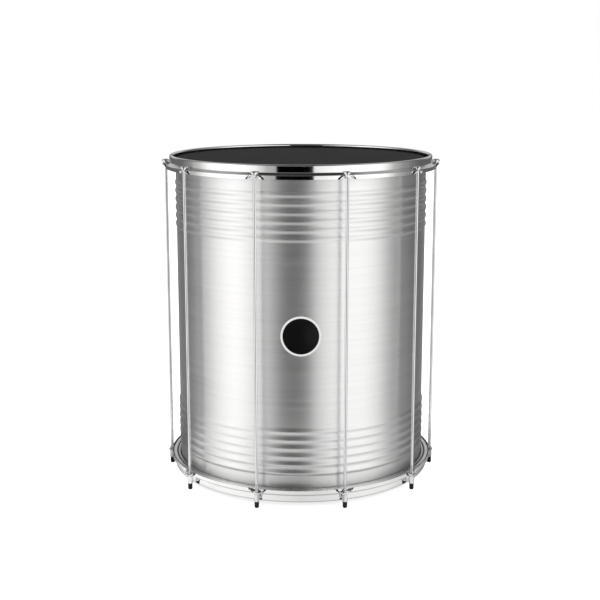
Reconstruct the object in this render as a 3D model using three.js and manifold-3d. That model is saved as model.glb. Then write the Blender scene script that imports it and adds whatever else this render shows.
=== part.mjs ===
// A surdo: a tall cylindrical bass drum with a beaded aluminium shell, a skin at each end and ten long
// tension rods outside the shell. Millimetres, +Z up, the front of the drum faces -Y, and the origin is
// on the floor in the middle of the ring of rubber caps that the drum stands on.
import * as THREE from "three";
import { mergeVertices } from "three/addons/utils/BufferGeometryUtils.js";
import Module from "manifold-3d";

const wasm = await Module();
wasm.setup();

// Shell: a rolled sheet with two sets of beads and a rolled bearing edge at each end.
const shellDiameter = 508;
const shellLength = 632;
const shellWall = 1.6;
const edgeRoll = 4;
const edgeLip = 8;
const beadsPerEnd = 6;
const beadPitch = 16.65;
const beadWidth = 12;
const beadHeight = 2;
const firstBeadInset = 47.2;

// Skins, each with its edge clamped in the channel of a flesh hoop.
const skinThickness = 1;
const collarDepth = 13.8;
const channelGap = 3.6;
const channelWidth = 12.4;
const channelHeight = 5;
const channelWall = 1.6;

// Counterhoops: pressed sheet with a curled rim, a wall, a ledge and a turned-down skirt.
const hoopSheet = 2;
const hoopWallRise = 18.6;
const curlDiameter = 6.4;
const ledgeFillet = 4;
const ledgeWidth = 8;
const skirtGap = 2;
const skirtDrop = 8;
const earFlatWidth = 12;
const earFootWidth = 36;

// Tension rods, with a domed head, a round shoulder and a square neck, and what is on their lower ends.
const rodCount = 10;
const rodDiameter = 6;
const domeDiameter = 16;
const domeHeight = 4.6;
const domeRim = 1.2;
const shoulderDiameter = 10;
const shoulderHeight = 2.8;
const neckExtra = 0.8;
const neckLength = 3;
const washerBorder = 2;
const washerThickness = 1.6;
const nutWall = 1.75;
const nutHeight = 14.5;
const nutChamfer = 0.7;
const capWall = 1.5;
const capHeight = 12.6;
const capFloor = 3.5;
const capRound = 2.4;

// Badge: a plain round plate with a raised rim, curved to the shell.
const badgeDiameter = 77;
const badgeThickness = 0.9;
const badgeRimWidth = 3.75;
const badgeRimHeight = 0.7;
const badgeCentreAboveMiddle = 2;

// Clearances: between touching pieces, in the holes of the ears, and round a rod in a nut or washer.
const seatGap = 0.3;
const earHoleClearance = 0.4;
const boreClearance = 0.35;
const cutOverrun = 1;

// How finely round forms are drawn.
const drumSides = 30;
const rodSides = 8;
const hexSides = 6;
const badgeSides = 24;
const edgeSteps = 2;
const filletSteps = 2;
const beadSteps = 3;
const earSteps = 2;
const spanSteps = 3;

const shellRadius = shellDiameter / 2;
const channelInner = shellRadius + channelGap;
const channelOuter = channelInner + channelWidth;
const skirtRadius = channelOuter + skirtGap + hoopSheet;
const hoopWallRadius = skirtRadius - ledgeWidth;

// The rods stand as close to the hoop's wall as the washers on the flat of the ledge let them.
const washerDiameter = rodDiameter + 2 * washerBorder;
const rodCircle = hoopWallRadius + ledgeFillet + washerDiameter / 2;
const rodPitch = (2 * Math.PI) / rodCount;
const neckSide = rodDiameter + neckExtra;
const nutAcrossFlats = rodDiameter + 2 * nutWall;
const capDiameter = rodDiameter + 2 * capWall;

// Heights above the middle of the drum, for the upper end; the lower end is the same turned over.
const shellTop = shellLength / 2;
const skinUnder = shellTop + seatGap;
const skinTop = skinUnder + skinThickness;
const channelTop = skinTop - collarDepth;
const ledgeUnder = channelTop + seatGap;
const ledgeTop = ledgeUnder + hoopSheet;
const rimTop = ledgeTop + hoopWallRise;

// Depths below the outer face of the lower ears.
const washerFace = seatGap;
const nutFace = washerFace + washerThickness + seatGap;
const capFace = nutFace + nutHeight + seatGap;
const standDepth = capFace + capHeight;
const middleHeight = ledgeTop + standDepth;

const up = (radius, height) => new THREE.Vector2(radius, height);

// Points of an arc about (radius, height), from one angle to another, both ends kept.
function arc(radius, height, size, from, to, steps) {
  return Array.from({ length: steps + 1 }, (_, i) => {
    const angle = from + ((to - from) * i) / steps;
    return up(radius + size * Math.cos(angle), height + size * Math.sin(angle));
  });
}

// A closed profile of radius and height, anticlockwise, turned about the Z axis.
function revolve(profile, sides) {
  return new THREE.LatheGeometry([...profile, profile[0]], sides).rotateX(Math.PI / 2);
}

// A profile that starts and ends on the Z axis, turned about it.
function revolveFull(profile, sides) {
  return new THREE.LatheGeometry(profile, sides).rotateX(Math.PI / 2);
}

function toSolid(geometry) {
  const bare = geometry.clone();
  bare.deleteAttribute("normal");
  bare.deleteAttribute("uv");
  const merged = mergeVertices(bare, 1e-4);
  return new wasm.Manifold(
    new wasm.Mesh({
      numProp: 3,
      vertProperties: merged.attributes.position.array,
      triVerts: new Uint32Array(merged.index.array),
    }),
  );
}

function toGeometry(solid) {
  const { vertProperties, triVerts } = solid.getMesh();
  const geometry = new THREE.BufferGeometry();
  geometry.setAttribute("position", new THREE.BufferAttribute(vertProperties, 3));
  geometry.setIndex(new THREE.BufferAttribute(triVerts, 1));
  geometry.computeVertexNormals();
  return geometry;
}

// Shell.

// One rolled bead on the outside of the shell, from its lower foot to its upper foot.
function beadOutline(centre) {
  const halfWidth = beadWidth / 2;
  return Array.from({ length: beadSteps + 1 }, (_, i) => {
    const angle = -Math.PI / 2 + (Math.PI * i) / beadSteps;
    return up(shellRadius + beadHeight * Math.cos(angle), centre + halfWidth * Math.sin(angle));
  });
}

function shellProfile() {
  const rollCentre = shellRadius - edgeRoll;
  const lipRadius = rollCentre - edgeLip;
  const innerRoll = edgeRoll - shellWall;
  const upperEdge = arc(rollCentre, shellTop - edgeRoll, edgeRoll, 0, Math.PI / 2, edgeSteps);
  const upperInside = arc(rollCentre, shellTop - edgeRoll, innerRoll, Math.PI / 2, 0, edgeSteps);
  const lowerInside = arc(rollCentre, edgeRoll - shellTop, innerRoll, 0, -Math.PI / 2, edgeSteps);
  const lowerEdge = arc(rollCentre, edgeRoll - shellTop, edgeRoll, -Math.PI / 2, 0, edgeSteps);
  const centres = Array.from({ length: beadsPerEnd }, (_, i) => shellTop - firstBeadInset - i * beadPitch);
  const lowerBeads = centres.flatMap((centre) => beadOutline(-centre));
  const upperBeads = [...centres].reverse().flatMap((centre) => beadOutline(centre));
  return [
    up(lipRadius, -shellTop),
    ...lowerEdge,
    ...lowerBeads,
    ...upperBeads,
    ...upperEdge,
    up(lipRadius, shellTop),
    up(lipRadius, shellTop - shellWall),
    ...upperInside,
    ...lowerInside,
    up(lipRadius, shellWall - shellTop),
  ];
}

// Upper skin and its flesh hoop.

// The skin lies flat, turns over the bearing edge, slopes out as a collar and is tucked into the
// channel, double, against its inner wall and its floor.
function skinProfile() {
  const rollCentre = shellRadius - edgeRoll;
  const innerTurn = edgeRoll + seatGap;
  const outerTurn = innerTurn + skinThickness;
  const turnHeight = shellTop - edgeRoll;
  const tuckInner = channelInner + channelWall + seatGap;
  const tuckOuter = tuckInner + 2 * skinThickness;
  const tuckEnd = channelTop - channelHeight + channelWall + seatGap;
  return [
    up(0, skinUnder),
    ...arc(rollCentre, turnHeight, innerTurn, Math.PI / 2, Math.PI / 8, edgeSteps),
    up(tuckInner, channelTop),
    up(tuckInner, tuckEnd),
    up(tuckOuter, tuckEnd),
    up(tuckOuter, channelTop + skinThickness),
    ...arc(rollCentre, turnHeight, outerTurn, Math.PI / 8, Math.PI / 2, edgeSteps),
    up(0, skinTop),
  ];
}

function channelProfile() {
  const foot = channelTop - channelHeight;
  const innerFace = channelInner + channelWall;
  const outerFace = channelOuter - channelWall;
  const channelFloor = foot + channelWall;
  return [
    up(channelInner, foot),
    up(channelOuter, foot),
    up(channelOuter, channelTop),
    up(outerFace, channelTop),
    up(outerFace, channelFloor),
    up(innerFace, channelFloor),
    up(innerFace, channelTop),
    up(channelInner, channelTop),
  ];
}

// Upper counterhoop. Its section is the same all round but for the flange past the ledge, which is
// folded down as the skirt between the rods and left flat as an ear at each rod.
function hoopSection(fold) {
  const wallInner = hoopWallRadius - hoopSheet;
  const curlInner = hoopWallRadius - curlDiameter;
  const filletTop = ledgeTop + ledgeFillet;
  const filletCentre = hoopWallRadius + ledgeFillet;
  const bend = up(skirtRadius, ledgeTop);
  const along = up(Math.cos(fold), -Math.sin(fold));
  const under = up(-Math.sin(fold), -Math.cos(fold));
  const edge = bend.clone().addScaledVector(along, skirtDrop);
  const innerEdge = edge.clone().addScaledVector(under, hoopSheet);
  const innerBend = up(skirtRadius - hoopSheet * Math.tan(fold / 2), ledgeUnder);
  const curlChamfer = curlDiameter / 4;
  return [
    up(wallInner, filletTop),
    up(filletCentre, ledgeUnder),
    innerBend,
    innerEdge,
    edge,
    bend,
    ...arc(filletCentre, filletTop, ledgeFillet, (3 * Math.PI) / 2, Math.PI, filletSteps),
    up(hoopWallRadius, rimTop - curlChamfer),
    up(hoopWallRadius - curlChamfer, rimTop),
    up(curlInner + curlChamfer, rimTop),
    up(curlInner, rimTop - curlChamfer),
    up(curlInner, rimTop - curlDiameter + curlChamfer),
    up(wallInner, rimTop - curlDiameter),
  ];
}

// Fold angle of the flange at a distance along the hoop from a rod.
function foldAt(distance) {
  const flat = earFlatWidth / 2;
  const foot = earFootWidth / 2;
  const share = THREE.MathUtils.clamp((distance - flat) / (foot - flat), 0, 1);
  return (Math.PI / 2) * share;
}

// Angles round the hoop at which the section is placed, with the fold angle that it has there.
function hoopStations() {
  const flat = earFlatWidth / 2;
  const foot = earFootWidth / 2;
  const distances = Array.from({ length: earSteps + 1 }, (_, i) => flat + ((foot - flat) * i) / earSteps);
  const footAngle = foot / skirtRadius;
  const span = rodPitch - 2 * footAngle;
  const stations = [];
  for (let ear = 0; ear < rodCount; ear++) {
    const centre = (ear + 0.5) * rodPitch;
    for (const distance of [...distances].reverse()) {
      stations.push({ angle: centre - distance / skirtRadius, fold: foldAt(distance) });
    }
    for (const distance of distances) {
      stations.push({ angle: centre + distance / skirtRadius, fold: foldAt(distance) });
    }
    for (let i = 1; i < spanSteps; i++) {
      stations.push({ angle: centre + footAngle + (span * i) / spanSteps, fold: foldAt(foot) });
    }
  }
  return stations;
}

// A closed ring through a section at each station, angles counted from the front towards +X.
function sweepRing(stations, sectionAt) {
  const sections = stations.map(({ fold }) => sectionAt(fold));
  const count = sections[0].length;
  const positions = [];
  stations.forEach(({ angle }, s) => {
    for (const point of sections[s]) {
      positions.push(point.x * Math.sin(angle), -point.x * Math.cos(angle), point.y);
    }
  });
  const index = [];
  for (let s = 0; s < stations.length; s++) {
    const next = (s + 1) % stations.length;
    for (let i = 0; i < count; i++) {
      const j = (i + 1) % count;
      const [a, b, c, d] = [s * count + i, next * count + i, next * count + j, s * count + j];
      index.push(a, b, c, a, c, d);
    }
  }
  const geometry = new THREE.BufferGeometry();
  geometry.setAttribute("position", new THREE.Float32BufferAttribute(positions, 3));
  geometry.setIndex(index);
  return geometry;
}

// A point on the ring of rods.
function rodPlace(number) {
  const angle = (number + 0.5) * rodPitch;
  return { angle, x: rodCircle * Math.sin(angle), y: -rodCircle * Math.cos(angle) };
}

function hoopGeometry() {
  const holeSide = neckSide + 2 * earHoleClearance;
  const holeDepth = hoopSheet + 2 * cutOverrun;
  let hoop = toSolid(sweepRing(hoopStations(), hoopSection));
  for (let number = 0; number < rodCount; number++) {
    const place = rodPlace(number);
    const hole = new THREE.BoxGeometry(holeSide, holeSide, holeDepth)
      .rotateZ(place.angle)
      .translate(place.x, place.y, (ledgeTop + ledgeUnder) / 2);
    hoop = hoop.subtract(toSolid(hole));
  }
  return toGeometry(hoop);
}

// Rods and their fittings, each about its own axis, with heights above the middle of the drum.

function rodGeometry() {
  const shank = rodDiameter / 2;
  const foot = -ledgeTop - capFace - capHeight + capFloor + seatGap;
  const shoulderFoot = ledgeTop + seatGap;
  const domeFoot = shoulderFoot + shoulderHeight;
  const domeWaist = domeFoot + domeRim;
  const domeTop = domeFoot + domeHeight;
  const crown = domeHeight - domeRim;
  const body = revolveFull(
    [
      up(0, foot),
      up(shank, foot),
      up(shank, shoulderFoot),
      up(shoulderDiameter / 2, shoulderFoot),
      up(shoulderDiameter / 2, domeFoot),
      up(domeDiameter / 2, domeFoot),
      up(domeDiameter / 2, domeWaist),
      up((domeDiameter / 2) * Math.cos(Math.PI / 4), domeWaist + crown * Math.sin(Math.PI / 4)),
      up(0, domeTop),
    ],
    rodSides,
  );
  const neck = new THREE.BoxGeometry(neckSide, neckSide, neckLength + cutOverrun);
  neck.translate(0, 0, shoulderFoot + cutOverrun - (neckLength + cutOverrun) / 2);
  return toGeometry(toSolid(body).add(toSolid(neck)));
}

// A bore that clears the rod even at the middle of its flat sides.
const boreRadius = (sides) => (rodDiameter / 2 + boreClearance) / Math.cos(Math.PI / sides);

function washerGeometry() {
  const face = -ledgeTop - washerFace;
  const bore = boreRadius(rodSides);
  return revolve(
    [
      up(bore, face - washerThickness),
      up(washerDiameter / 2, face - washerThickness),
      up(washerDiameter / 2, face),
      up(bore, face),
    ],
    rodSides,
  );
}

// A long hexagon nut with its corners bevelled at both ends, one corner facing out.
function nutGeometry() {
  const face = -ledgeTop - nutFace;
  const foot = face - nutHeight;
  const corner = nutAcrossFlats / 2 / Math.cos(Math.PI / hexSides);
  const bevelled = corner - nutChamfer;
  const bore = boreRadius(hexSides);
  return revolve(
    [
      up(bore, foot),
      up(bevelled, foot),
      up(corner, foot + nutChamfer),
      up(corner, face - nutChamfer),
      up(bevelled, face),
      up(bore, face),
    ],
    hexSides,
  );
}

// A rubber cap pushed over the rod's lower end, with a flat foot that the drum stands on.
function capGeometry() {
  const top = -ledgeTop - capFace;
  const foot = top - capHeight;
  const outer = capDiameter / 2;
  const bore = boreRadius(rodSides);
  return revolveFull(
    [
      up(0, foot),
      up(outer - capRound, foot),
      up(outer, foot + capRound),
      up(outer, top),
      up(bore, top),
      up(bore, foot + capFloor),
      up(0, foot + capFloor),
    ],
    rodSides,
  );
}

// A slice of a tube round the shell, cut out by a round punch along Y.
function curvedDisc(innerRadius, outerRadius, diameter) {
  const reach = diameter / 2 + cutOverrun;
  const tube = revolve(
    [
      up(innerRadius, -reach),
      up(outerRadius, -reach),
      up(outerRadius, reach),
      up(innerRadius, reach),
    ],
    2 * drumSides,
  );
  const punch = new THREE.CylinderGeometry(diameter / 2, diameter / 2, shellRadius, badgeSides);
  punch.translate(0, -shellRadius, 0);
  return toSolid(tube).intersect(toSolid(punch));
}

function badgeGeometry() {
  const back = shellRadius + seatGap;
  const face = back + badgeThickness;
  const plate = curvedDisc(back, face, badgeDiameter);
  const rim = curvedDisc(back, face + badgeRimHeight, badgeDiameter);
  const field = badgeDiameter - 2 * badgeRimWidth;
  const opening = curvedDisc(back - cutOverrun, face + badgeRimHeight + cutOverrun, field);
  return toGeometry(plate.add(rim.subtract(opening)));
}

// Finishes.
const finishes = {
  brushedAluminium: { color: 0xc4c4c6, roughness: 0.38, metalness: 1 },
  chrome: { color: 0xdadadc, roughness: 0.08, metalness: 1 },
  blackSkin: { color: 0x2d2a2b, roughness: 0.62, metalness: 0 },
  blackRubber: { color: 0x111111, roughness: 0.75, metalness: 0 },
  blackEnamel: { color: 0x121214, roughness: 0.2, metalness: 0 },
};

function piece(name, geometry, finish) {
  const mesh = new THREE.Mesh(geometry, new THREE.MeshStandardMaterial(finishes[finish]));
  mesh.name = name;
  return mesh;
}

// The end set: skin, flesh hoop and counterhoop. The lower one is the same set turned over.
function endSet(prefix) {
  const set = new THREE.Group();
  set.add(piece(prefix + "_head", revolveFull(skinProfile(), drumSides), "blackSkin"));
  set.add(piece(prefix + "_flesh_hoop", revolve(channelProfile(), drumSides), "brushedAluminium"));
  set.add(piece(prefix + "_hoop", hoopGeometry(), "chrome"));
  return set;
}

const drum = new THREE.Group();
drum.position.z = middleHeight;
drum.add(piece("shell", revolve(shellProfile(), drumSides), "brushedAluminium"));
drum.add(endSet("top"));

const lowerEnd = endSet("bottom");
lowerEnd.rotation.x = Math.PI;
drum.add(lowerEnd);

const badge = piece("badge", badgeGeometry(), "blackEnamel");
badge.position.z = badgeCentreAboveMiddle;
drum.add(badge);

const rodFittings = [
  { name: "tension_rod", geometry: rodGeometry, finish: "chrome" },
  { name: "rod_washer", geometry: washerGeometry, finish: "chrome" },
  { name: "tension_nut", geometry: nutGeometry, finish: "chrome" },
  { name: "rubber_cap", geometry: capGeometry, finish: "blackRubber" },
];
for (let number = 0; number < rodCount; number++) {
  const place = rodPlace(number);
  const station = new THREE.Group();
  station.position.set(place.x, place.y, 0);
  station.rotation.z = place.angle;
  for (const fitting of rodFittings) {
    const label = String(number + 1).padStart(2, "0");
    station.add(piece(fitting.name + "_" + label, fitting.geometry(), fitting.finish));
  }
  drum.add(station);
}

const surdo = new THREE.Group();
surdo.add(drum);
export default surdo;
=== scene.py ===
import math

import bmesh
import bpy
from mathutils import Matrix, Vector


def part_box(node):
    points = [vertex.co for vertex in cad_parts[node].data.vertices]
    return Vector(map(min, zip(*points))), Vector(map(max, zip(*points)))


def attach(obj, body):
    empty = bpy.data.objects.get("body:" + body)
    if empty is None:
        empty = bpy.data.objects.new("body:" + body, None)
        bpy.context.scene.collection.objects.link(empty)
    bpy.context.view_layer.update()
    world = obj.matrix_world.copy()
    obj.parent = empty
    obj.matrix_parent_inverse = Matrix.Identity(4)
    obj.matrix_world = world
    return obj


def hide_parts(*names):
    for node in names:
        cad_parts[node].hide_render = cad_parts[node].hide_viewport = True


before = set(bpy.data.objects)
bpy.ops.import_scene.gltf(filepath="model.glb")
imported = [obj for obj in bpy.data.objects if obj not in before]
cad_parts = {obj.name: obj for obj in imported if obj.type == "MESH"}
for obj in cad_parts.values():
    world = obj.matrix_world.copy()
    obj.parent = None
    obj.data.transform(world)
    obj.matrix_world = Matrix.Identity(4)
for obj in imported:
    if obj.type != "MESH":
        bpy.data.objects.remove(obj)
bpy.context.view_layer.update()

# A surdo: a tall samba bass drum. Metres, +Z up, its front towards -Y, standing on the rubber caps of its
# tension rods. The dictionaries hold real sizes, and places come from the frame.

print("frame loaded")


# Sums on node sockets

class Term:
    # one number in a node tree, used in sums like any other number
    def __init__(self, graph, socket):
        self.graph = graph
        self.socket = socket

    def other(self, output):
        return Term(self.graph, self.socket.node.outputs[output])

    def __add__(self, value):
        return self.graph.sum("ADD", self, value)

    def __radd__(self, value):
        return self.graph.sum("ADD", value, self)

    def __sub__(self, value):
        return self.graph.sum("SUBTRACT", self, value)

    def __rsub__(self, value):
        return self.graph.sum("SUBTRACT", value, self)

    def __mul__(self, value):
        return self.graph.sum("MULTIPLY", self, value)

    def __rmul__(self, value):
        return self.graph.sum("MULTIPLY", value, self)

    def __truediv__(self, value):
        return self.graph.sum("DIVIDE", self, value)

    def __rtruediv__(self, value):
        return self.graph.sum("DIVIDE", value, self)

    def __neg__(self):
        return self.graph.sum("MULTIPLY", self, -1.0)


class Graph:
    def __init__(self, tree):
        self.tree = tree

    def feed(self, socket, value):
        if isinstance(value, Term):
            self.tree.links.new(value.socket, socket)
        else:
            socket.default_value = value

    def node(self, kind, settings=None, inputs=None, output=0):
        made = self.tree.nodes.new(kind)
        for name, value in (settings or {}).items():
            if name == "stops":
                self.setStops(made.color_ramp, value)
            else:
                setattr(made, name, value)
        for name, value in (inputs or {}).items():
            self.feed(made.inputs[name], value)
        if not made.outputs:
            return made
        return Term(self, made.outputs[output])

    def setStops(self, ramp, stops):
        while len(ramp.elements) > 1:
            ramp.elements.remove(ramp.elements[-1])
        for number, (position, grey) in enumerate(stops):
            element = ramp.elements[0] if number == 0 else ramp.elements.new(position)
            element.position = position
            element.color = (grey, grey, grey, 1)

    def sum(self, operation, *values):
        return self.node("ShaderNodeMath", {"operation": operation}, dict(enumerate(values)))

    def smooth(self, value, low, high, start=0.0, end=1.0):
        settings = {"interpolation_type": "SMOOTHSTEP"}
        sockets = {"Value": value, "From Min": low, "From Max": high, "To Min": start, "To Max": end}
        return self.node("ShaderNodeMapRange", settings, sockets)

    def apart(self, vector):
        x = self.node("ShaderNodeSeparateXYZ", None, {0: vector})
        return x, x.other("Y"), x.other("Z")

    def together(self, x, y, z):
        return self.node("ShaderNodeCombineXYZ", None, {"X": x, "Y": y, "Z": z})

    def blendColours(self, factor, first, second):
        return self.node("ShaderNodeMix", {"data_type": "RGBA"}, {0: factor, 6: first, 7: second}, 2)

    def objectPlace(self, scale=(1, 1, 1)):
        place = self.node("ShaderNodeTexCoord", output="Object")
        return self.node("ShaderNodeMapping", None, {"Vector": place, "Scale": scale})

    def noise(self, scale, detail=2.0, roughness=0.5):
        sockets = {"Vector": self.objectPlace(scale), "Scale": 1.0, "Detail": detail, "Roughness": roughness}
        return self.node("ShaderNodeTexNoise", None, sockets)


# Where things are: heights are counted from the drum's middle, where both ends are alike

def middleOf(node):
    low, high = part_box(node)
    return (low + high) / 2


drum = {
    "middle": middleOf("shell").z,
    "shellRadius": 0.254,
    "shellHalf": (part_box("shell")[1].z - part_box("shell")[0].z) / 2,
    "skinHalf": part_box("top_head")[1].z - middleOf("shell").z,
    "rimHalf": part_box("top_hoop")[1].z - middleOf("shell").z,
    "wallRise": 0.0186,
    "hoopBend": 0.2736,
    "skirt": 0.008,
    "earFlat": 0.006,
    "earFoot": 0.0195,
    "rods": 10,
    "rodCircle": Vector(middleOf("rod_washer_01")[:2]).length,
}
drum["ledge"] = drum["rimHalf"] - drum["wallRise"]
rodLabels = ["%02d" % (number + 1) for number in range(drum["rods"])]


def rodAngle(number):
    return (number + 0.5) * 2 * math.pi / drum["rods"]


# Materials

def newMaterial(name):
    material = bpy.data.materials.new(name)
    material.use_nodes = True
    material.node_tree.nodes.clear()
    return material, Graph(material.node_tree)


def finishMaterial(graph, shader):
    graph.node("ShaderNodeOutputMaterial", None, {"Surface": shader})


def bump(graph, height, strength, distance):
    return graph.node("ShaderNodeBump", None, {"Height": height, "Strength": strength, "Distance": distance})


aluminiumLook = {
    "dark": (0.73, 0.727, 0.722, 1),
    "light": (0.89, 0.886, 0.88, 1),
    "fineLines": (5, 5, 900),  # turned lines, counted per metre of height
    "broadLines": (2.5, 2.5, 150),
    "smudges": (9, 9, 7),
    "lineTone": 0.9,
    "smudgeTone": 0.25,
    "roughness": 0.37,
    "lineRoughness": 0.12,
    "smudgeRoughness": 0.08,
    "streak": 0.6,  # how much more the turned lines blur up and down than round
    "streakTurn": 0.25,
    "fineShare": 0.7,
    "lineStrength": 0.35,
    "lineDepth": 0.00004,
}


def spunAluminium(name, look):
    material, graph = newMaterial(name)
    fine = graph.noise(look["fineLines"], 3, 0.6)
    broad = graph.noise(look["broadLines"], 3, 0.7)
    smudge = graph.noise(look["smudges"], 4, 0.6)
    tone = 0.5 + (fine - 0.5) * look["lineTone"] + (broad - 0.5) * look["lineTone"]
    tone = tone + (smudge - 0.5) * look["smudgeTone"]
    rough = look["roughness"] + (broad - 0.5) * look["lineRoughness"]
    lines = fine * look["fineShare"] + broad * (1 - look["fineShare"])
    shader = graph.node("ShaderNodeBsdfPrincipled", None, {
        "Base Color": graph.blendColours(tone, look["dark"], look["light"]),
        "Metallic": 1.0,
        "Roughness": rough + (smudge - 0.5) * look["smudgeRoughness"],
        "Anisotropic": look["streak"],
        "Anisotropic Rotation": look["streakTurn"],
        "Normal": bump(graph, lines, look["lineStrength"], look["lineDepth"]),
    })
    finishMaterial(graph, shader)
    return material


channelLook = {
    "metal": (0.935, 0.93, 0.925, 1),
    "gapShadeTone": (0.02, 0.02, 0.02, 1),
    "groove": (0.2600, 0.2632),  # painted shade on the floor of the groove that grips the skin, which is also rougher
    "grooveShade": 0.95,
    "ring": 0.2572,  # and also on what lies deeper inside than this, towards the shell
    "ringShade": 0.75,
    "softEdge": 0.0003,
    "smudges": (40, 40, 40),
    "roughness": 0.28,
    "dullRoughness": 0.2,
    "smudgeRoughness": 0.1,
    "smudgeStrength": 0.2,
    "smudgeDepth": 0.0001,
}


def crimpedChannel(name, look):
    material, graph = newMaterial(name)
    x, y, _ = graph.apart(graph.objectPlace())
    reach = graph.sum("SQRT", x * x + y * y)
    soft = look["softEdge"]
    start, end = look["groove"]
    # painted shade: the groove's floor and the strip next to the shell are darkened towards near-black, and
    # made rougher
    shadedAndDull = graph.smooth(reach, start - soft, start + soft)
    shadedAndDull = shadedAndDull * graph.smooth(reach, end - soft, end + soft, look["grooveShade"], 0.0)
    shadedAndDull = shadedAndDull + graph.smooth(reach, look["ring"] - soft, look["ring"] + soft, look["ringShade"], 0.0)
    smudge = graph.noise(look["smudges"], 3, 0.6)
    rough = look["roughness"] + shadedAndDull * look["dullRoughness"]
    shader = graph.node("ShaderNodeBsdfPrincipled", None, {
        "Base Color": graph.blendColours(shadedAndDull, look["metal"], look["gapShadeTone"]),
        "Metallic": 1.0,
        "Roughness": rough + (smudge - 0.5) * look["smudgeRoughness"],
        "Normal": bump(graph, smudge, look["smudgeStrength"], look["smudgeDepth"]),
    })
    finishMaterial(graph, shader)
    return material


platingLook = {
    "ripples": (30, 30, 30),
    "smudges": (14, 14, 22),
    "specks": (420, 420, 420),
    "marked": (0.52, 0.78),  # the smudges that show as marks
    "markTone": 0.5,
    "markRoughness": 0.05,
    "speckRoughness": 0.02,
    "rippleStrength": 0.25,
    "rippleDepth": 0.00006,
}
chromeLook = {
    "tone": (0.935, 0.93, 0.922, 1),
    "worn": (0.81, 0.80, 0.79, 1),
    "roughness": 0.045,
    "shadeTone": (0.01, 0.01, 0.01, 1),
    "paintedShade": 0.85,  # painted shade in the hollow behind the skirt
    "shadeRadius": 0.2724,
    "shadeEdge": 0.0005,
    "creaseShade": 0.97,
    "creaseWidth": 0.0044,  # the line of painted shade in the crease beside each ear
    "creaseEdge": 0.0008,
    "creaseStart": (0.1, 0.4),  # parts of the skirt's share, over which the line comes and goes
    "creaseEnd": (0.93, 0.99),
}
rodLook = {"tone": (0.79, 0.79, 0.80, 1), "worn": (0.66, 0.66, 0.67, 1), "roughness": 0.06}
steelLook = {"tone": (0.84, 0.84, 0.85, 1), "worn": (0.66, 0.66, 0.67, 1), "roughness": 0.16}


# the mask of the painted shade in the hollow behind the skirt
def hollowBehindSkirt(graph, look, height, reach):
    soft = look["shadeEdge"]
    radius = look["shadeRadius"]
    within = graph.smooth(reach, radius - soft, radius + soft, 1.0, 0.0)
    return within * graph.smooth(height, drum["ledge"] - 3 * soft, drum["ledge"] - 2 * soft, 1.0, 0.0)


def earCreases(graph, look, x, y, height, reach):
    # 1 in the crease where the skirt turns out into an ear, where the line of painted shade goes
    pitch = 2 * math.pi / drum["rods"]
    turn = graph.sum("ARCTAN2", x, -y) / pitch - 0.5
    distance = graph.sum("ABSOLUTE", turn - graph.sum("ROUND", turn)) * (pitch * drum["hoopBend"])
    share = graph.smooth(distance, drum["earFlat"], drum["earFoot"])
    away = graph.sum("ABSOLUTE", height - (drum["ledge"] - drum["skirt"] * share))
    half = look["creaseWidth"] / 2
    soft = look["creaseEdge"]
    inner = drum["hoopBend"] - half
    outer = drum["hoopBend"] + half
    crease = graph.smooth(away, half - soft, half + soft, 1.0, 0.0)
    crease = crease * graph.smooth(share, *look["creaseStart"])
    crease = crease * graph.smooth(share, *look["creaseEnd"], 1.0, 0.0)
    crease = crease * graph.smooth(reach, inner - soft, inner)
    return crease * graph.smooth(reach, outer, outer + soft, 1.0, 0.0)


def plating(name, look, common):
    material, graph = newMaterial(name)
    ripple = graph.noise(common["ripples"], 2, 0.5)
    smudge = graph.noise(common["smudges"], 4, 0.65)
    speck = graph.noise(common["specks"], 2, 0.5)
    marks = graph.smooth(smudge, *common["marked"])
    tone = graph.blendColours(marks * common["markTone"], look["tone"], look["worn"])
    # on the counterhoops, painted shade darkens the hollow behind the skirt and the creases beside the ears
    if "paintedShade" in look:
        x, y, z = graph.apart(graph.objectPlace())
        reach = graph.sum("SQRT", x * x + y * y)
        height = graph.sum("ABSOLUTE", z - drum["middle"])
        hollow = hollowBehindSkirt(graph, look, height, reach)
        creases = earCreases(graph, look, x, y, height, reach)
        paintedShade = graph.sum("MAXIMUM", hollow * look["paintedShade"], creases * look["creaseShade"])
        tone = graph.blendColours(paintedShade, tone, look["shadeTone"])
    rough = look["roughness"] + marks * common["markRoughness"] + speck * common["speckRoughness"]
    shader = graph.node("ShaderNodeBsdfPrincipled", None, {
        "Base Color": tone,
        "Metallic": 1.0,
        "Roughness": rough,
        "Normal": bump(graph, ripple, common["rippleStrength"], common["rippleDepth"]),
    })
    finishMaterial(graph, shader)
    return material


skinLook = {
    "tone": (0.0146, 0.0124, 0.0128, 1),
    "dusty": (0.023, 0.0195, 0.0200, 1),
    "grain": (2600, 2600, 2600),
    "clouds": (11, 11, 11),
    "dustStart": (0.3, 0.75),
    "roughness": 0.62,
    "grainRoughness": 0.2,
    "cloudRoughness": 0.1,
    "specular": 0.06,
    "grainStrength": 0.3,
    "grainDepth": 0.0001,
}


def coatedSkin(name, look):
    material, graph = newMaterial(name)
    grain = graph.noise(look["grain"], 2, 0.6)
    cloud = graph.noise(look["clouds"], 4, 0.6)
    dust = graph.smooth(cloud, *look["dustStart"])
    rough = look["roughness"] + (grain - 0.5) * look["grainRoughness"]
    shader = graph.node("ShaderNodeBsdfPrincipled", None, {
        "Base Color": graph.blendColours(dust, look["tone"], look["dusty"]),
        "Roughness": rough + (cloud - 0.5) * look["cloudRoughness"],
        "Specular IOR Level": look["specular"],
        "Normal": bump(graph, grain, look["grainStrength"], look["grainDepth"]),
    })
    finishMaterial(graph, shader)
    return material


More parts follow.
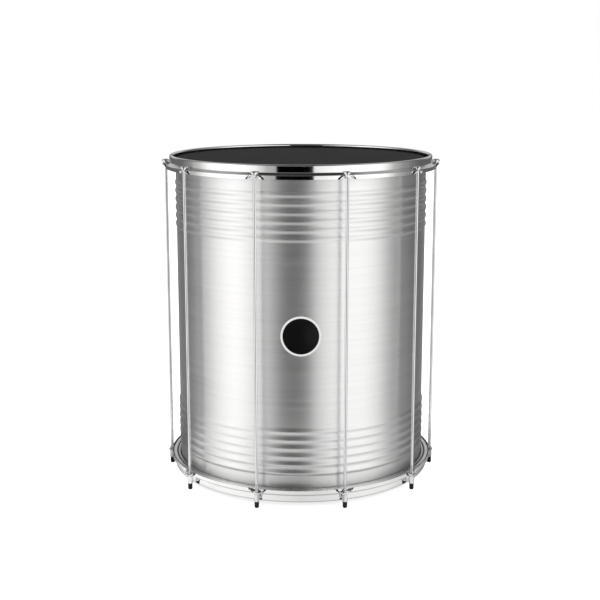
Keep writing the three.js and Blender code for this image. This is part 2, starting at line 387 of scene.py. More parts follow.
rubberLook = {
    "tone": (0.005, 0.005, 0.005, 1),
    "chalky": (0.016, 0.016, 0.016, 1),
    "grain": (1500, 1500, 1500),
    "scuffs": (160, 160, 60),
    "scuffed": (0.5, 0.75),
    "footHeight": 0.004,  # below this it has rubbed on the floor
    "upperWear": 0.3,
    "roughness": 0.42,
    "wornRoughness": 0.25,
    "specular": 0.3,
    "grainStrength": 0.2,
    "grainDepth": 0.0001,
}


def mouldedRubber(name, look):
    material, graph = newMaterial(name)
    grain = graph.noise(look["grain"], 3, 0.6)
    scuff = graph.noise(look["scuffs"], 3, 0.6)
    _, _, height = graph.apart(graph.objectPlace())
    foot = graph.smooth(height, 0.0, look["footHeight"], 1.0, 0.0)
    worn = graph.smooth(scuff, *look["scuffed"]) * (look["upperWear"] + foot * (1 - look["upperWear"]))
    shader = graph.node("ShaderNodeBsdfPrincipled", None, {
        "Base Color": graph.blendColours(worn, look["tone"], look["chalky"]),
        "Roughness": look["roughness"] + worn * look["wornRoughness"],
        "Specular IOR Level": look["specular"],
        "Normal": bump(graph, grain, look["grainStrength"], look["grainDepth"]),
    })
    finishMaterial(graph, shader)
    return material


badgeLook = {
    "field": (0.0035, 0.0033, 0.0033, 1),
    "rim": (0.86, 0.86, 0.85, 1),
    "fieldRadius": 0.0346,
    "rimEdge": 0.0004,
    "lineSpacing": 0.0011,  # fine turned rings in the field
    "haze": (60, 60, 60),
    "roughness": 0.16,
    "hazeRoughness": 0.12,
    "specular": 0.3,
    "coat": 0.08,
    "lineStrength": 0.12,
    "lineDepth": 0.0001,
}


def badgeEnamel(name, look):
    material, graph = newMaterial(name)
    x, _, z = graph.apart(graph.objectPlace())
    across = z - middleOf("badge").z
    reach = graph.sum("SQRT", x * x + across * across)
    onRim = graph.smooth(reach, look["fieldRadius"] - look["rimEdge"], look["fieldRadius"] + look["rimEdge"])
    rings = graph.sum("SINE", reach * (2 * math.pi / look["lineSpacing"])) * (1 - onRim)
    haze = graph.noise(look["haze"], 3, 0.6)
    shader = graph.node("ShaderNodeBsdfPrincipled", None, {
        "Base Color": graph.blendColours(onRim, look["field"], look["rim"]),
        "Roughness": look["roughness"] + haze * look["hazeRoughness"],
        "Specular IOR Level": look["specular"],
        "Coat Weight": look["coat"],
        "Normal": bump(graph, rings, look["lineStrength"], look["lineDepth"]),
    })
    finishMaterial(graph, shader)
    return material


finishes = {
    "shell": spunAluminium("spunAluminium", aluminiumLook),
    "fleshHoop": crimpedChannel("crimpedChannel", channelLook),
    "chrome": plating("chromePlate", chromeLook, platingLook),
    "rod": plating("rodPlate", rodLook, platingLook),
    "steel": plating("platedSteel", steelLook, platingLook),
    "skin": coatedSkin("coatedSkin", skinLook),
    "rubber": mouldedRubber("mouldedRubber", rubberLook),
    "badge": badgeEnamel("badgeEnamel", badgeLook),
}
print("materials made")


# Outlines and turned forms

def softened(corners, steps=4, closed=True):
    # corners are (radius, height, rounding), each eased by a curve that starts that far from the corner
    line = []
    last = len(corners) - 1
    for number, (radius, height, rounding) in enumerate(corners):
        here = Vector((radius, height))
        if rounding <= 0 or (not closed and number in (0, last)):
            line.append(here)
            continue
        before = Vector(corners[number - 1][:2]) - here
        after = Vector(corners[(number + 1) % len(corners)][:2]) - here
        start = here + before.normalized() * min(rounding, before.length * 0.49)
        end = here + after.normalized() * min(rounding, after.length * 0.49)
        for step in range(steps + 1):
            t = step / steps
            line.append(start * (1 - t) ** 2 + here * 2 * t * (1 - t) + end * t ** 2)
    return line


def ringMesh(name, sections, angles, closedSection=True):
    # a ring of sections of (radius, height), each at its angle from the front towards +X
    shape = bmesh.new()
    columns = []
    for section, angle in zip(sections, angles):
        column = []
        for point in section:
            column.append(shape.verts.new((point.x * math.sin(angle), -point.x * math.cos(angle), point.y)))
        columns.append(column)
    size = len(sections[0])
    for number, column in enumerate(columns):
        following = columns[(number + 1) % len(columns)]
        for i in range(size if closedSection else size - 1):
            j = (i + 1) % size
            shape.faces.new((column[i], following[i], following[j], column[j]))
    bmesh.ops.remove_doubles(shape, verts=shape.verts, dist=1e-6)
    bmesh.ops.recalc_face_normals(shape, faces=shape.faces)
    mesh = bpy.data.meshes.new(name)
    shape.to_mesh(mesh)
    shape.free()
    return mesh


def turned(name, outline, steps, closed=True):
    angles = [2 * math.pi * number / steps for number in range(steps)]
    return ringMesh(name, [outline] * steps, angles, closed)


def smoothed(mesh, sharpAbove=35):
    mesh.polygons.foreach_set("use_smooth", [True] * len(mesh.polygons))
    mesh.set_sharp_from_angle(angle=math.radians(sharpAbove))
    mesh.update()
    return mesh


def lifted(mesh, height, over=False):
    # to the drum's middle height, and turned over about the X axis for the lower end
    for vertex in mesh.vertices:
        x, y, z = vertex.co
        vertex.co = (x, -y, height - z) if over else (x, y, height + z)
    return mesh


def piece(name, mesh, finish, body, nodes, sharpAbove=35):
    smoothed(mesh, sharpAbove)
    mesh.materials.clear()
    mesh.materials.append(finishes[finish])
    made = bpy.data.objects.new(name, mesh)
    bpy.context.scene.collection.objects.link(made)
    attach(made, body)
    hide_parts(*nodes)
    return made


# Geometry Nodes

def newTree(name, sockets):
    tree = bpy.data.node_groups.new(name, "GeometryNodeTree")
    tree.interface.new_socket(name="Geometry", in_out="OUTPUT", socket_type="NodeSocketGeometry")
    tree.interface.new_socket(name="Geometry", in_out="INPUT", socket_type="NodeSocketGeometry")
    for label, kind in sockets.items():
        tree.interface.new_socket(name=label, in_out="INPUT", socket_type="NodeSocket" + kind)
    graph = Graph(tree)
    given = graph.node("NodeGroupInput")
    return tree, graph, given


def endTree(graph, geometry, material):
    realized = graph.node("GeometryNodeRealizeInstances", None, {"Geometry": geometry})
    coloured = graph.node("GeometryNodeSetMaterial", None, {"Geometry": realized, "Material": material})
    graph.node("NodeGroupOutput", None, {"Geometry": coloured})


def grown(name, tree, values, mesh=None):
    # the tree's result, with these values, as a plain mesh
    holder = bpy.data.objects.new(name + "Seed", mesh or bpy.data.meshes.new(name + "Seed"))
    bpy.context.scene.collection.objects.link(holder)
    modifier = holder.modifiers.new(name, "NODES")
    modifier.node_group = tree
    names = {item.name: item.identifier for item in tree.interface.items_tree if item.in_out == "INPUT"}
    for label, value in values.items():
        modifier[names[label]] = value
    bpy.context.view_layer.update()
    evaluated = holder.evaluated_get(bpy.context.evaluated_depsgraph_get())
    result = bpy.data.meshes.new_from_object(evaluated)
    result.name = name
    holder.modifiers.remove(modifier)
    bpy.data.objects.remove(holder)
    return result


# The camera, at the photograph's place

camera = {
    "distance": 2.4029,
    "height": 0.8514,
    "pitch": 11.674,
    "focalPixels": 1176.0,
    "imagePixels": 600,
    "axisOffsetPixels": 0.854,
    "sensor": 36.0,
}


def makeCamera(look):
    lens = bpy.data.cameras.new("camera")
    lens.sensor_width = look["sensor"]
    lens.lens = look["sensor"] * look["focalPixels"] / look["imagePixels"]
    lens.shift_x = -look["axisOffsetPixels"] / look["imagePixels"]
    made = bpy.data.objects.new("camera", lens)
    made.location = (0, -look["distance"], look["height"])
    made.rotation_euler = (math.radians(90 - look["pitch"]), 0, 0)
    bpy.context.scene.collection.objects.link(made)
    bpy.context.scene.camera = made


makeCamera(camera)
print("camera set")


# Shell: a rolled sheet with beads near both ends

shell = {
    "edgeRoll": 0.004,
    "firstBead": 0.0472,
    "beadPitch": 0.01665,
    "beadWidth": 0.0146,
    "beadHeight": 0.002,
    "beads": 6,
    "zone": 0.146,  # height at each end that is drawn finely
    "rows": 146,
    "stepsRound": 180,
    "sheet": 0.0016,
}


def beadedSheetTree():
    tree, graph, given = newTree("beadedSheet", {
        "Radius": "Float", "Half Length": "Float", "Edge Roll": "Float", "First Bead": "Float",
        "Bead Pitch": "Float", "Bead Width": "Float", "Bead Height": "Float", "Beads": "Float",
        "Zone": "Float", "Rows": "Int", "Steps Round": "Int", "Material": "Material",
    })
    columns = graph.sum("ADD", given.other("Steps Round"), 1)
    rows = graph.sum("MULTIPLY", given.other("Rows"), 2)
    grid = graph.node("GeometryNodeMeshGrid", None, {
        "Size X": 1.0, "Size Y": 1.0, "Vertices X": columns, "Vertices Y": rows,
    })
    across, along, _ = graph.apart(graph.node("GeometryNodeInputPosition"))
    angle = (across + 0.5) * (2 * math.pi)
    side = graph.sum("SIGN", along)
    depth = (1 - graph.sum("ABSOLUTE", along) * 2) * given.other("Zone")
    roll = given.other("Edge Roll")
    rolled = graph.sum("MAXIMUM", roll - depth, 0.0)
    edge = roll - graph.sum("SQRT", roll * roll - rolled * rolled)
    fromFirst = depth - given.other("First Bead")
    nearest = graph.sum("ROUND", fromFirst / given.other("Bead Pitch"))
    nearest = graph.sum("MINIMUM", graph.sum("MAXIMUM", nearest, 0.0), given.other("Beads") - 1)
    share = graph.sum("ABSOLUTE", fromFirst - nearest * given.other("Bead Pitch"))
    share = graph.sum("MINIMUM", share / (given.other("Bead Width") / 2), 1.0)
    bead = (graph.sum("COSINE", share * math.pi) + 1) * 0.5 * given.other("Bead Height")
    radius = given.other("Radius") - edge + bead
    place = graph.together(
        radius * graph.sum("SINE", angle),
        -radius * graph.sum("COSINE", angle),
        side * (given.other("Half Length") - depth),
    )
    moved = graph.node("GeometryNodeSetPosition", None, {"Geometry": grid, "Position": place})
    closed = graph.node("GeometryNodeMergeByDistance", None, {"Geometry": moved, "Distance": 1e-6})
    endTree(graph, closed, given.other("Material"))
    return tree


def thickened(mesh, thickness):
    # a wall of that thickness inside the sheet, closed at both edges
    shape = bmesh.new()
    shape.from_mesh(mesh)
    bmesh.ops.recalc_face_normals(shape, faces=shape.faces)
    sample = max(shape.faces, key=lambda face: face.calc_area())
    centre = sample.calc_center_median()
    if sample.normal.dot(Vector((centre.x, centre.y, 0))) < 0:
        bmesh.ops.reverse_faces(shape, faces=shape.faces)
    shape.to_mesh(mesh)
    shape.free()
    holder = bpy.data.objects.new("sheet", mesh)
    bpy.context.scene.collection.objects.link(holder)
    wall = holder.modifiers.new("wall", "SOLIDIFY")
    wall.thickness = thickness
    wall.offset = -1
    bpy.context.view_layer.update()
    result = bpy.data.meshes.new_from_object(holder.evaluated_get(bpy.context.evaluated_depsgraph_get()))
    bpy.data.objects.remove(holder)
    return result


def makeShell(look):
    sheet = grown("shellSheet", beadedSheetTree(), {
        "Radius": drum["shellRadius"], "Half Length": drum["shellHalf"], "Edge Roll": look["edgeRoll"],
        "First Bead": look["firstBead"], "Bead Pitch": look["beadPitch"], "Bead Width": look["beadWidth"],
        "Bead Height": look["beadHeight"], "Beads": float(look["beads"]), "Zone": look["zone"],
        "Rows": look["rows"], "Steps Round": look["stepsRound"], "Material": finishes["shell"],
    })
    wall = lifted(thickened(sheet, look["sheet"]), drum["middle"])
    return piece("shellWall", wall, "shell", "drum", ["shell"], 60)


makeShell(shell)
print("shell made")


# Skins and their flesh hoops

skin = {
    "thickness": 0.001,
    "roll": 0.0053,
    "flatEdge": 0.03,  # the flat part ends this far inside the shell's edge
    "shellGap": 0.0004,
    "bulge": 0.0006,
    "collarFoot": 0.0138,
    "tuck": 0.0031,
    "flareOutside": (0.002, 0.003),  # height over the collar's foot, and rounding
    "flareInside": (0.0005, 0.002),
    "channelGap": 0.0003,
    "edgeRounding": 0.0005,
    "steps": 180,
}
channel = {
    "inner": 0.2576,
    "width": 0.0124,
    "height": 0.005,
    "wall": 0.0014,
    "groove": 0.004,  # rolled into the closed side, which grips the skin
    "grooveDepth": 0.0016,
    "grooveLean": 0.7,  # in walls, how far its inner side leans
    "lip": 0.002,
    "flange": 0.0027,  # what the crimp leaves inside the lip, towards the shell
    "flangeDrop": 0.0022,
    "flangeSheet": 0.0008,
    "backRounding": 0.0016,
    "edgeRounding": 0.0006,
    "grooveRounding": 0.0004,
    "innerRounding": 0.0003,
    "lipRounding": 0.0005,
    "steps": 180,
}


def skinOutline(look):
    top = drum["skinHalf"]
    under = top - look["thickness"]
    foot = top - look["collarFoot"]
    turn = drum["shellRadius"] + look["shellGap"]
    inner = channel["inner"] + channel["wall"] + look["channelGap"]
    outer = inner + 2 * look["thickness"]
    edge = foot - look["tuck"] + look["thickness"]
    outside, outsideRounding = look["flareOutside"]
    inside, insideRounding = look["flareInside"]
    corners = [
        (0, top, 0),
        (drum["shellRadius"] - look["flatEdge"], top, 0),
        (turn + look["bulge"], top, look["roll"]),
        (outer, foot + outside, outsideRounding),
        (outer, edge, look["edgeRounding"]),
        (inner, edge, look["edgeRounding"]),
        (inner, foot + inside, insideRounding),
        (turn, under, look["roll"] - look["thickness"]),
        (0, under, 0),
    ]
    return softened(corners, 8, closed=False)


def channelOutline(look):
    top = drum["skinHalf"] - skin["collarFoot"]
    foot = top - look["height"]
    inner = look["inner"]
    outer = inner + look["width"]
    wall = look["wall"]
    grooveStart = inner + look["lip"]
    grooveEnd = grooveStart + look["groove"]
    grooveTop = foot + look["grooveDepth"]
    flangeFoot = foot + look["flangeDrop"]
    flangeTop = flangeFoot + look["flangeSheet"]
    flangeEdge = inner - look["flange"]
    eased = look["edgeRounding"]
    tight = look["innerRounding"]
    corners = [
        (inner, foot, look["lipRounding"]),
        (grooveStart, foot, look["grooveRounding"]),
        (grooveStart, grooveTop, look["grooveRounding"]),
        (grooveEnd, grooveTop, look["grooveRounding"]),
        (grooveEnd, foot, eased),
        (outer, foot, look["backRounding"]),
        (outer, top, eased),
        (outer - wall, top, eased),
        (outer - wall, foot + wall, eased),
        (grooveEnd + wall, foot + wall, tight),
        (grooveEnd + wall * look["grooveLean"], grooveTop + wall, tight),
        (inner + wall, grooveTop + wall, tight),
        (inner + wall, top, eased),
        (inner, top, eased),
        (inner, flangeTop, 0),
        (flangeEdge, flangeTop, tight),
        (flangeEdge, flangeFoot, tight),
        (inner, flangeFoot, 0),
    ]
    return softened(corners, 3)


def makeSkin(end, over):
    mesh = turned(end + "Skin", skinOutline(skin), skin["steps"], closed=False)
    lifted(mesh, drum["middle"], over)
    piece(end + "Skin", mesh, "skin", "drum", [end + "_head"], 60)
    mesh = turned(end + "FleshHoop", channelOutline(channel), channel["steps"])
    lifted(mesh, drum["middle"], over)
    piece(end + "FleshHoop", mesh, "fleshHoop", "drum", [end + "_flesh_hoop"])


makeSkin("top", False)
makeSkin("bottom", True)
print("skins made")


# Counterhoops: curled rim, wall, ledge and a skirt that unfolds into an ear at each rod

hoop = {
    "sheet": 0.002,
    "wall": 0.266,
    "bend": drum["hoopBend"],
    "bendRounding": 0.0018,
    "shoulder": 0.0038,  # the slope between wall and ledge
    "shoulderRounding": 0.0012,
    "shoulderEase": 0.6,  # in sheets, how much wider the slope is on the inner side
    "skirt": drum["skirt"],
    "curl": 0.0038,
    "curlBulge": 0.0002,
    "edgeRounding": 0.0006,
    "kneeRounding": 0.0034,
    "earFlat": drum["earFlat"],
    "earFoot": drum["earFoot"],
    "earSteps": 14,
    "spanSteps": 9,
    "curlSteps": 12,
}


def hoopSection(look, share):
    # share is how much of the skirt hangs straight down before the rest turns outwards: none of it at an ear
    ledge = drum["ledge"]
    sheet = look["sheet"]
    under = ledge - sheet
    inner = look["wall"] - sheet
    slope = look["shoulder"] + sheet * look["shoulderEase"]
    fold = math.pi / 2 * share * share
    knee = Vector((look["bend"], ledge - look["skirt"] * share))
    innerKnee = knee - Vector((sheet, sheet * math.tan(math.pi / 4 - fold / 2)))
    edge = knee + Vector((math.cos(fold), -math.sin(fold))) * look["skirt"] * (1 - share)
    innerEdge = edge + Vector((-math.sin(fold), -math.cos(fold))) * sheet
    corners = [
        (inner, drum["rimHalf"] - 2 * look["curl"], 0),
        (inner, under + slope, look["shoulderRounding"]),
        (inner + slope, under, look["shoulderRounding"]),
        (look["bend"] - sheet, under, look["edgeRounding"]),
        (innerKnee.x, innerKnee.y, look["kneeRounding"]),
        (innerEdge.x, innerEdge.y, look["edgeRounding"]),
        (edge.x, edge.y, look["edgeRounding"]),
        (knee.x, knee.y, look["kneeRounding"]),
        (look["bend"], ledge, look["bendRounding"]),
        (look["wall"] + look["shoulder"], ledge, look["shoulderRounding"]),
        (look["wall"], ledge + look["shoulder"], look["shoulderRounding"]),
    ]
    line = softened(corners, 5)
    centre = Vector((look["wall"] - look["curl"] + look["curlBulge"], drum["rimHalf"] - look["curl"]))
    for step in range(look["curlSteps"] + 1):
        angle = 1.5 * math.pi * step / look["curlSteps"]
        line.append(centre + Vector((math.cos(angle), math.sin(angle))) * look["curl"])
    return line


def skirtShare(look, distance):
    share = (abs(distance) - look["earFlat"]) / (look["earFoot"] - look["earFlat"])
    share = min(max(share, 0.0), 1.0)
    return share * share * (3 - 2 * share)


def hoopStations(look):
    # angles round the hoop with the skirt's share there
    foot = look["earFoot"]
    footAngle = foot / look["bend"]
    span = 2 * math.pi / drum["rods"] - 2 * footAngle
    stations = []
    for number in range(drum["rods"]):
        centre = rodAngle(number)
        for step in range(2 * look["earSteps"] + 1):
            distance = foot * (step / look["earSteps"] - 1)
            stations.append((centre + distance / look["bend"], skirtShare(look, distance)))
        for step in range(1, look["spanSteps"]):
            stations.append((centre + footAngle + span * step / look["spanSteps"], 1.0))
    return stations


def makeHoop(look, end, over):
    stations = hoopStations(look)
    sections = [hoopSection(look, share) for _, share in stations]
    mesh = ringMesh(end + "Hoop", sections, [angle for angle, _ in stations])
    lifted(mesh, drum["middle"], over)
    piece(end + "Counterhoop", mesh, "chrome", "drum", [end + "_hoop"], 50)


makeHoop(hoop, "top", False)
makeHoop(hoop, "bottom", True)
print("counterhoops made")


# Rods and what is on them: forms are drawn about their own axis and set round the drum by a tree

rod = {
    "shank": 0.003,
    "shoulder": 0.005,
    "shoulderHeight": 0.0028,
    "dome": 0.00795,
    "domeHeight": 0.0046,
    "domeRim": 0.0013,
    "neck": 0.0034,  # half the side of the square neck
    "neckLength": 0.003,
    "threadLength": 0.046,
    "threadPitch": 0.001,
    "threadDepth": 0.00045,
    "threadInset": 0.0005,  # from the rod's foot
    "steps": 24,
    "domeSteps": 9,
}
washer = {"bore": 0.0033, "radius": 0.005, "thickness": 0.0016, "steps": 32}
nut = {
    "halfFlats": 0.00475,
    "bore": 0.0033,
    "boreBevel": 0.0004,
    "height": 0.0145,
    "crown": 0.97,  # the round end face, as a part of halfFlats
    "bevel": 0.5,
    "steps": 48,
}
cap = {
    "radius": 0.0045,
    "foot": 0.0012,
    "height": 0.0126,
    "bore": 0.0031,
    "floor": 0.0035,
    "line": 0.0018,  # a fine line moulded round it, this far under its top
    "lineHalf": 0.0004,
    "lineDepth": 0.0002,
    "steps": 28,
}
seat = 0.0003  # between pieces that touch

earFace = -drum["ledge"]
nutFace = earFace - 2 * seat - washer["thickness"]
capFace = nutFace - nut["height"] - seat
rodFoot = capFace - cap["height"] + cap["floor"] + seat


def rodRingTree():
    tree, graph, given = newTree("rodRing", {
        "Count": "Int", "First Angle": "Float", "Step Angle": "Float", "Ring Radius": "Float",
        "Thread Radius": "Float", "Thread Depth": "Float", "Thread Turns": "Float",
        "Thread Length": "Float", "Thread Foot": "Float", "Material": "Material",
    })
    spiral = graph.node("GeometryNodeCurveSpiral", None, {
        "Resolution": 14,
        "Rotations": given.other("Thread Turns"),
        "Start Radius": given.other("Thread Radius"),
        "End Radius": given.other("Thread Radius"),
        "Height": given.other("Thread Length"),
    })
    ridge = graph.node("GeometryNodeCurvePrimitiveCircle", None, {
        "Resolution": 4, "Radius": given.other("Thread Depth"),
    })
    thread = graph.node("GeometryNodeCurveToMesh", None, {"Curve": spiral, "Profile Curve": ridge})
    placed = graph.node("GeometryNodeTransform", None, {
        "Geometry": thread, "Translation": graph.together(0.0, 0.0, given.other("Thread Foot")),
    })
    joined = graph.node("GeometryNodeJoinGeometry")
    graph.feed(joined.socket.node.inputs[0], given.other("Geometry"))
    graph.feed(joined.socket.node.inputs[0], placed)
    setRound(graph, given, joined)
    return tree


def plainRingTree():
    tree, graph, given = newTree("plainRing", {
        "Count": "Int", "First Angle": "Float", "Step Angle": "Float", "Ring Radius": "Float",
        "Material": "Material",
    })
    setRound(graph, given, given.other("Geometry"))
    return tree


def setRound(graph, given, form):
    points = graph.node("GeometryNodePoints", None, {"Count": given.other("Count")})
    angle = given.other("First Angle") + graph.node("GeometryNodeInputIndex") * given.other("Step Angle")
    radius = given.other("Ring Radius")
    place = graph.together(radius * graph.sum("SINE", angle), -radius * graph.sum("COSINE", angle), 0.0)
    ring = graph.node("GeometryNodeSetPosition", None, {"Geometry": points, "Position": place})
    copies = graph.node("GeometryNodeInstanceOnPoints", None, {
        "Points": ring, "Instance": form, "Rotation": graph.together(0.0, 0.0, angle),
    })
    endTree(graph, copies, given.other("Material"))


def ringValues(first, count, finish):
    return {
        "Count": count, "First Angle": rodAngle(first), "Step Angle": 2 * math.pi / drum["rods"],
        "Ring Radius": drum["rodCircle"], "Material": finishes[finish],
    }


def rodForm(look):
    ear = drum["ledge"] + seat
    domeFoot = ear + look["shoulderHeight"]
    domeWaist = domeFoot + look["domeRim"]
    core = look["shank"] - look["threadDepth"]
    threadTop = rodFoot + look["threadLength"]
    corners = [
        (0, rodFoot, 0),
        (core, rodFoot, 0.0004),
        (core, threadTop, 0.0003),
        (look["shank"], threadTop + look["threadPitch"], 0.0003),
        (look["shank"], ear - look["neckLength"], 0),
        (look["neck"], ear - look["neckLength"] + 0.0003, 0.0002),
        (look["neck"], ear, 0),
        (look["shoulder"], ear, 0.0004),
        (look["shoulder"], domeFoot, 0.0003),
        (look["dome"], domeFoot, 0.0004),
        (look["dome"], domeWaist, 0.0006),
    ]
    line = softened(corners, 3, closed=False)
    crown = look["domeHeight"] - look["domeRim"]
    for step in range(1, look["domeSteps"] + 1):
        angle = math.pi / 2 * step / look["domeSteps"]
        line.append(Vector((look["dome"] * math.cos(angle), domeWaist + crown * math.sin(angle))))
    line[-1].x = 0
    return turned("rodForm", line, look["steps"], closed=False)


def washerForm(look):
    top = earFace - seat
    foot = top - look["thickness"]
    corners = [
        (look["bore"], foot, 0.0002),
        (look["radius"], foot, 0.0004),
        (look["radius"], top, 0.0004),
        (look["bore"], top, 0.0002),
    ]
    return turned("washerForm", softened(corners, 3), look["steps"])


def nutForm(look):
    # a hexagon whose corners are cut by a cone at both ends
    top = nutFace
    foot = top - look["height"]
    mouth = look["bore"] + look["boreBevel"]
    sections = []
    angles = []
    for step in range(look["steps"]):
        angle = 2 * math.pi * step / look["steps"]
        fromFlat = (angle + math.pi / 6) % (math.pi / 3) - math.pi / 6
        reach = look["halfFlats"] / math.cos(fromFlat)
        face = look["halfFlats"] * look["crown"]
        drop = (reach - face) * look["bevel"]
        sections.append([Vector(pair) for pair in (
            (look["bore"], foot), (mouth, foot), (face, foot), (reach, foot + drop),
            (reach, top - drop), (face, top), (mouth, top), (look["bore"], top - look["boreBevel"]),
        )])
        angles.append(angle)
    return ringMesh("nutForm", sections, angles)


def capForm(look):
    foot = capFace - look["height"]
    line = capFace - look["line"]
    corners = [
        (0, foot, 0),
        (look["radius"], foot, look["radius"] - look["foot"]),
        (look["radius"], line - look["lineHalf"], look["lineDepth"]),
        (look["radius"] - look["lineDepth"], line, look["lineDepth"]),
        (look["radius"], line + look["lineHalf"], look["lineDepth"]),
        (look["radius"], capFace, 0.0005),
        (look["bore"], capFace, 0.0003),
        (look["bore"], foot + look["floor"], 0),
        (0, foot + look["floor"], 0),
    ]
    return turned("capForm", softened(corners, 6, closed=False), look["steps"], closed=False)


def makeRods():
    plainRing = plainRingTree()
    threads = {
        "Thread Radius": rod["shank"] - rod["threadDepth"],
        "Thread Depth": rod["threadDepth"],
        "Thread Turns": rod["threadLength"] / rod["threadPitch"],
        "Thread Length": rod["threadLength"] - rod["threadInset"],
        "Thread Foot": rodFoot + rod["threadInset"],
    }
    mesh = grown("rods", rodRingTree(), {**ringValues(0, drum["rods"], "rod"), **threads}, rodForm(rod))
    lifted(mesh, drum["middle"])
    piece("tensionRods", mesh, "rod", "drum", ["tension_rod_" + label for label in rodLabels])
    mesh = grown("washers", plainRing, ringValues(0, drum["rods"], "steel"), washerForm(washer))
    lifted(mesh, drum["middle"])
    piece("rodWashers", mesh, "steel", "drum", ["rod_washer_" + label for label in rodLabels])
    mesh = grown("caps", plainRing, ringValues(0, drum["rods"], "rubber"), capForm(cap))
    lifted(mesh, drum["middle"])
    piece("rubberCaps", mesh, "rubber", "drum", ["rubber_cap_" + label for label in rodLabels])
    for number, label in enumerate(rodLabels):
        mesh = grown("nut" + label, plainRing, ringValues(number, 1, "steel"), nutForm(nut))
        lifted(mesh, drum["middle"])
        piece("tensionNut" + label, mesh, "steel", "nut_" + label, ["tension_nut_" + label], 20)


makeRods()
print("rods and fittings made")


# Badge: a plain plate with a raised rim, curved to the shell

badge = {
    "radius": 0.0385,
    "back": 0.0003,
    "face": 0.0012,
    "rimHeight": 0.0007,
    "rimWidth": 0.00375,
    "rimSlope": (-0.0004, 0.0003),  # where the rim's inner side starts and ends
    "steps": 72,
}


def makeBadge(look):
    centre = middleOf("badge").z
    top = look["face"] + look["rimHeight"]
    field = look["radius"] - look["rimWidth"]
    corners = [
        (0, look["face"], 0),
        (field * 0.5, look["face"], 0),
        (field + look["rimSlope"][0], look["face"], 0.0003),
        (field + look["rimSlope"][1], top, 0.0004),
        (look["radius"], top, 0.0008),
        (look["radius"], look["back"], 0.0002),
        (0, look["back"], 0),
    ]
    mesh = turned("badge", softened(corners, 4, closed=False), look["steps"], closed=False)
    for vertex in mesh.vertices:
        x, z, depth = vertex.co
        radius = drum["shellRadius"] + depth
        vertex.co = (x, -math.sqrt(radius * radius - x * x), centre + z)
    piece("shellBadge", mesh, "badge", "drum", ["badge"])


makeBadge(badge)
print("badge made")


# Studio: a pale floor, soft lamps, and a surround of light panels that only the metal mirrors

studio = {
    # a pair is where a change begins and where it is complete
    "floorSize": 14.0,
    "paleFloor": (0.78, 0.78, 0.78, 1),
    "floorGlow": 0.82,
    # the floor that the metal mirrors, a glow of painted light with a painted shadow under and beside the
    # drum, in metres from the drum's axis
    "underDrum": (0.222, 0.26),  # painted shadow of the drum: dark inside it, clear outside
    # a lighter painted shadow, at besideLevel, in a ring round the foot of the hoops
    "besideDrum": (0.278, 0.292),
    "besideLevel": 0.7,
    "openLevel": 1.1,
    "floorEnd": (0.36, 0.58),  # past it the surround shows instead
    # the surround that it mirrors, by direction: 0 is level or in the middle, 1 straight up or aside
    "roomLight": 0.8,
    "panelTops": (0.56, 0.7),
    "spread": 0.6,  # how far the gap between the panels widens over the drum
    "overhead": 0.03,
    "aloft": 0.34,  # high at both sides and beyond the drum
    "aloftAside": (0.34, 0.5),
    "beyondAside": (0.04, 0.2),
    "beyondBack": (0.1, 0.35),
    "strip": 0.22,  # a dim band over the panels
    "bounced": 0.2,  # what the panels add to it
    "stripFoot": (0.46, 0.6),
    "stripTop": (0.8, 0.88),
    "backdrop": 0.5,
    "backdropBack": (0.6, 0.9),
    "backdropFoot": (0.0, 0.12),
    "belowLevel": (0.08, 0.75),
    "underfoot": 0.4,  # what the panels throw below them comes on top
    "thrown": 0.55,
    # degrees round the drum from the camera towards the right, and brightness
    "panels": [
        (-180, 0.12), (-124, 0.14), (-110, 0.26), (-98, 0.56), (-88, 0.96), (-76, 1.25), (-66, 1.45),
        (-56, 1.42), (-46, 1.05), (-39, 0.97), (-33, 0.68), (-28, 0.5), (-20.6, 0.38), (-20, 0.001),
        (10.6, 0.001), (11.2, 0.85), (26, 1.05), (40, 1.3), (62, 1.3), (76, 1.0), (86, 0.5), (97, 0.3),
        (108, 0.2), (122, 0.12), (180, 0.12),
    ],
    "litFloor": [
        (-180, 0.03), (-125, 0.03), (-102, 0.05), (-92, 0.2), (-84, 0.5), (-72, 0.88), (-57, 0.94),
        (-42, 0.93), (-28, 0.88), (-14, 0.78), (0, 0.67), (15, 0.73), (30, 0.82), (45, 0.79), (58, 0.65),
        (74, 0.42), (90, 0.24), (110, 0.1), (125, 0.05), (180, 0.03),
    ],
}


def roundTheDrum(graph, x, forward, stops):
    turn = graph.sum("ARCTAN2", x, forward) / (2 * math.pi) + 0.5
    places = [(degrees / 360 + 0.5, grey) for degrees, grey in stops]
    return graph.node("ShaderNodeValToRGB", {"stops": places}, {"Fac": turn})


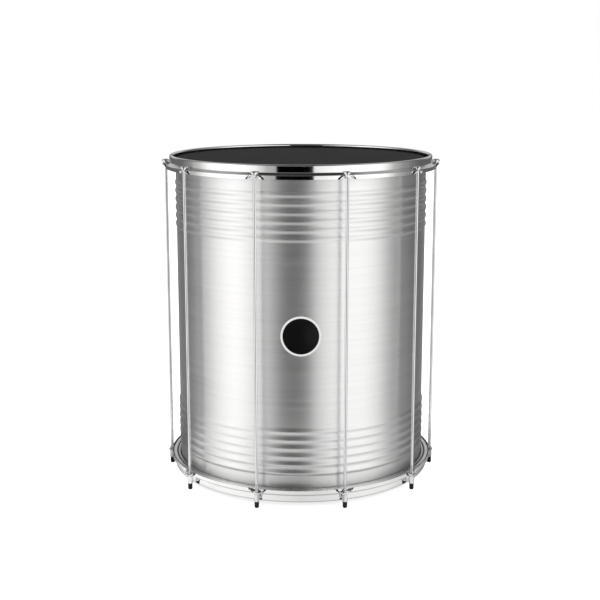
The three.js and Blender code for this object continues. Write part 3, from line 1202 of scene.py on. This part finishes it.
def makeWorld(look):
    world = bpy.data.worlds.new("studio")
    bpy.context.scene.world = world
    world.use_nodes = True
    world.node_tree.nodes.clear()
    world.cycles.sampling_method = "NONE"  # the panels are seen by reflection alone
    graph = Graph(world.node_tree)
    x, y, z = graph.apart(graph.node("ShaderNodeTexCoord", output="Generated"))
    rise = graph.sum("MAXIMUM", z, 0.0)
    panels = roundTheDrum(graph, x, rise * rise * rise * look["spread"] - y, look["panels"])
    backdrop = graph.smooth(y, *look["backdropBack"]) * graph.smooth(z, *look["backdropFoot"])
    level = graph.sum("MAXIMUM", panels, backdrop * look["backdrop"])
    aside = graph.sum("ABSOLUTE", x)
    beyond = graph.smooth(aside, *look["beyondAside"]) * graph.smooth(y, *look["beyondBack"])
    lofty = graph.sum("MAXIMUM", graph.smooth(aside, *look["aloftAside"]), beyond)
    aloft = look["overhead"] + look["aloft"] * lofty
    strip = graph.smooth(z, *look["stripFoot"]) * graph.smooth(z, *look["stripTop"], 1.0, 0.0)
    strip = strip * (look["strip"] + panels * look["bounced"])
    high = graph.smooth(z, *look["panelTops"])
    above = graph.sum("MAXIMUM", level * (1 - high) + high * aloft, strip)
    low = graph.smooth(-z, *look["belowLevel"])
    below = look["underfoot"] + panels * look["thrown"]
    mirrored = above * (1 - low) + low * below
    ray = graph.node("ShaderNodeLightPath", output="Is Camera Ray")
    glossy = ray.other("Is Glossy Ray")
    unseen = glossy * mirrored + (1 - glossy) * look["roomLight"]
    strength = ray + (1 - ray) * unseen
    background = graph.node("ShaderNodeBackground", None, {"Color": (1, 1, 1, 1), "Strength": strength})
    graph.node("ShaderNodeOutputWorld", None, {"Surface": background})


def makeFloor(look):
    half = look["floorSize"] / 2
    mesh = bpy.data.meshes.new("floor")
    corners = [(-half, -half, 0), (half, -half, 0), (half, half, 0), (-half, half, 0)]
    mesh.from_pydata(corners, [], [(0, 1, 2, 3)])
    material, graph = newMaterial("paleFloor")
    x, y, _ = graph.apart(graph.objectPlace())
    reach = graph.sum("SQRT", x * x + y * y)
    far = graph.smooth(reach, *look["floorEnd"])
    # painted shadow in the floor that the metal mirrors: dark under the drum, dimmer in a ring beside it
    clear = graph.smooth(reach, *look["underDrum"])
    beside = graph.smooth(reach, *look["besideDrum"], look["besideLevel"], look["openLevel"])
    ray = graph.node("ShaderNodeLightPath", output="Is Camera Ray")
    glossy = ray.other("Is Glossy Ray")
    matte = graph.node("ShaderNodeBsdfDiffuse", None, {"Color": look["paleFloor"]})
    shine = ray * look["floorGlow"]
    glow = graph.node("ShaderNodeEmission", None, {"Color": (1, 1, 1, 1), "Strength": shine})
    lit = graph.node("ShaderNodeAddShader", None, {0: matte, 1: glow})
    litFloor = roundTheDrum(graph, x, -y, look["litFloor"]) * clear * beside
    mirrored = graph.node("ShaderNodeEmission", None, {"Color": (1, 1, 1, 1), "Strength": litFloor})
    nothing = graph.node("ShaderNodeBsdfTransparent")
    seen = graph.node("ShaderNodeMixShader", None, {0: far, 1: mirrored, 2: nothing})
    finishMaterial(graph, graph.node("ShaderNodeMixShader", None, {0: glossy, 1: lit, 2: seen}))
    mesh.materials.append(material)
    floor = bpy.data.objects.new("floor", mesh)
    bpy.context.scene.collection.objects.link(floor)


lamps = {
    "keyLamp": {"place": (-1.7, -1.7, 2.5), "size": 1.8, "power": 26.0},
    "fillLamp": {"place": (2.0, -1.2, 1.7), "size": 1.6, "power": 12.0},
}


def makeLamps(look):
    target = Vector((0, 0, drum["middle"]))
    for name, one in look.items():
        light = bpy.data.lights.new(name, "AREA")
        light.size = one["size"]
        light.energy = one["power"]
        lamp = bpy.data.objects.new(name, light)
        lamp.location = one["place"]
        lamp.rotation_euler = (target - Vector(one["place"])).to_track_quat("-Z", "Y").to_euler()
        lamp.visible_glossy = False
        bpy.context.scene.collection.objects.link(lamp)


makeWorld(studio)
makeFloor(studio)
makeLamps(lamps)
bpy.context.scene.view_settings.view_transform = "Standard"
print("studio made")
